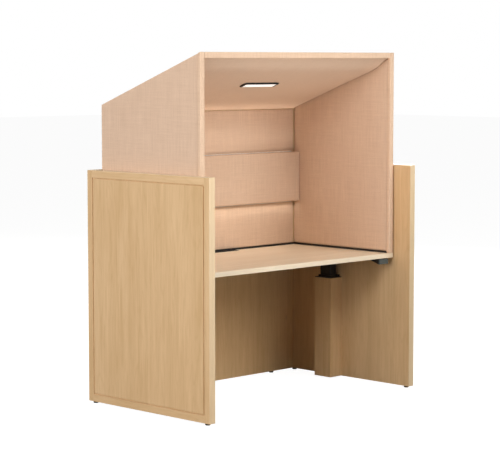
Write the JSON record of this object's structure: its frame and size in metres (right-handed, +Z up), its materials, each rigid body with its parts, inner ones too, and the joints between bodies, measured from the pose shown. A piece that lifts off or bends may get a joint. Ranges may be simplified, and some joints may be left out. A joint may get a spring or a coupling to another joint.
{
  "type": "study carrel",
  "caption": "Library study carrel: wooden enclosure round a motorised sit-stand desk that carries an upholstered hood with lights.",
  "frame": {"origin": "on the floor, under the centre of the enclosure's footprint", "axes": "+X to the sitter's right, +Y to the back of the carrel, +Z up"},
  "size_m": [1.54, 0.915, 1.827],
  "materials": {
    "core_board": "raw board",
    "veneer": "matt lacquered maple veneer",
    "veneer_edge": "matt lacquered edge strip",
    "worktop_veneer": "matt lacquered maple veneer",
    "timber": "planed softwood",
    "hood_fabric": "plain woven upholstery over foam",
    "rim_fabric": "plain woven upholstery",
    "black_steel": "matt black powder coat",
    "black_plastic": "matt moulded",
    "black_aluminium": "black anodised",
    "aluminium": "satin",
    "zinc": "zinc plated",
    "screw_steel": "rolled and greased",
    "slide_plastic": "moulded acetal",
    "lens": "opal diffuser",
    "paddle_plastic": "matt moulded"
  },
  "bodies": {
    "enclosure": {"left_panel_core": "core_board", "left_face_frame": "veneer", "left_inset_panel": "veneer", "right_panel_core": "core_board", "right_face_frame": "veneer", "right_inset_panel": "veneer", "back_panel_core": "core_board", "back_face_frame": "veneer", "back_inset_panel": "veneer", "panel_edge_bands": "veneer_edge", "levelling_glides": "black_plastic", "cam_bolts": "zinc", "cam_nuts": "zinc", "left_column_cover": "veneer", "right_column_cover": "veneer", "column_cover_caps": "black_plastic", "base_brackets": "black_steel", "bracket_screws": "zinc", "base_tubes": "black_steel", "base_tube_pads": "slide_plastic", "spindle_nuts": "slide_plastic"},
    "desk": {"outer_tubes": "black_steel", "drive_heads": "black_plastic", "lift_motors": "black_plastic", "support_arms": "black_steel", "crossbeams": "black_steel", "arm_screws": "zinc", "control_box": "black_plastic", "worktop": "worktop_veneer", "worktop_front_band": "veneer_edge", "cable_port_liner": "black_plastic", "hood_bolts": "zinc", "handset_body": "black_plastic", "base_rails": "black_aluminium", "hood_side_cores": "core_board", "hood_left_cover": "hood_fabric", "hood_left_liner": "hood_fabric", "hood_right_cover": "hood_fabric", "hood_right_liner": "hood_fabric", "hood_back_core": "core_board", "hood_back_cover": "hood_fabric", "hood_back_liner": "hood_fabric", "hood_roof_core": "core_board", "hood_roof_cover": "hood_fabric", "hood_ceiling_pad": "hood_fabric", "rim_battens": "timber", "rim_covers": "rim_fabric", "tackboard_core": "core_board", "tackboard_cover": "hood_fabric", "tackboard_spacers": "aluminium", "light_channels": "aluminium", "light_channel_lenses": "lens", "ceiling_light_housing": "black_aluminium", "ceiling_light_lens": "lens"},
    "left_stage": {"left_middle_tube": "black_steel", "left_middle_tube_pads": "slide_plastic"},
    "right_stage": {"right_middle_tube": "black_steel", "right_middle_tube_pads": "slide_plastic"},
    "left_screw": {"left_spindle": "screw_steel"},
    "right_screw": {"right_spindle": "screw_steel"},
    "paddle": {"handset_paddle": "paddle_plastic"}
  },
  "joints": [
    {"name": "desk_lift", "type": "slide", "parent": "enclosure", "child": "desk", "axis": [0, 0, 1], "range_m": [-0.07, 0.43]},
    {"name": "left_stage_slide", "type": "slide", "parent": "enclosure", "child": "left_stage", "axis": [0, 0, 1], "range_m": [-0.035, 0.215]},
    {"name": "right_stage_slide", "type": "slide", "parent": "enclosure", "child": "right_stage", "axis": [0, 0, 1], "range_m": [-0.035, 0.215]},
    {"name": "left_screw_turn", "type": "hinge", "parent": "desk", "child": "left_screw", "pos_m": [-0.688, 0.102, 0.4], "axis": [0, 0, 1], "range_deg": [-1265, 7745]},
    {"name": "right_screw_turn", "type": "hinge", "parent": "desk", "child": "right_screw", "pos_m": [0.688, 0.102, 0.4], "axis": [0, 0, 1], "range_deg": [-1265, 7745]},
    {"name": "paddle_tilt", "type": "hinge", "parent": "desk", "child": "paddle", "pos_m": [0.651, -0.312, 0.701], "axis": [1, 0, 0], "range_deg": [-4, 4], "stiffness_Nm_per_rad": 2}
  ],
  "couplings": [
    {"joint": "left_stage_slide", "follows": "desk_lift", "ratio": 0.5},
    {"joint": "right_stage_slide", "follows": "desk_lift", "ratio": 0.5},
    {"joint": "left_screw_turn", "follows": "desk_lift", "rad_per_m": 314.16},
    {"joint": "right_screw_turn", "follows": "desk_lift", "rad_per_m": 314.16}
  ]
}
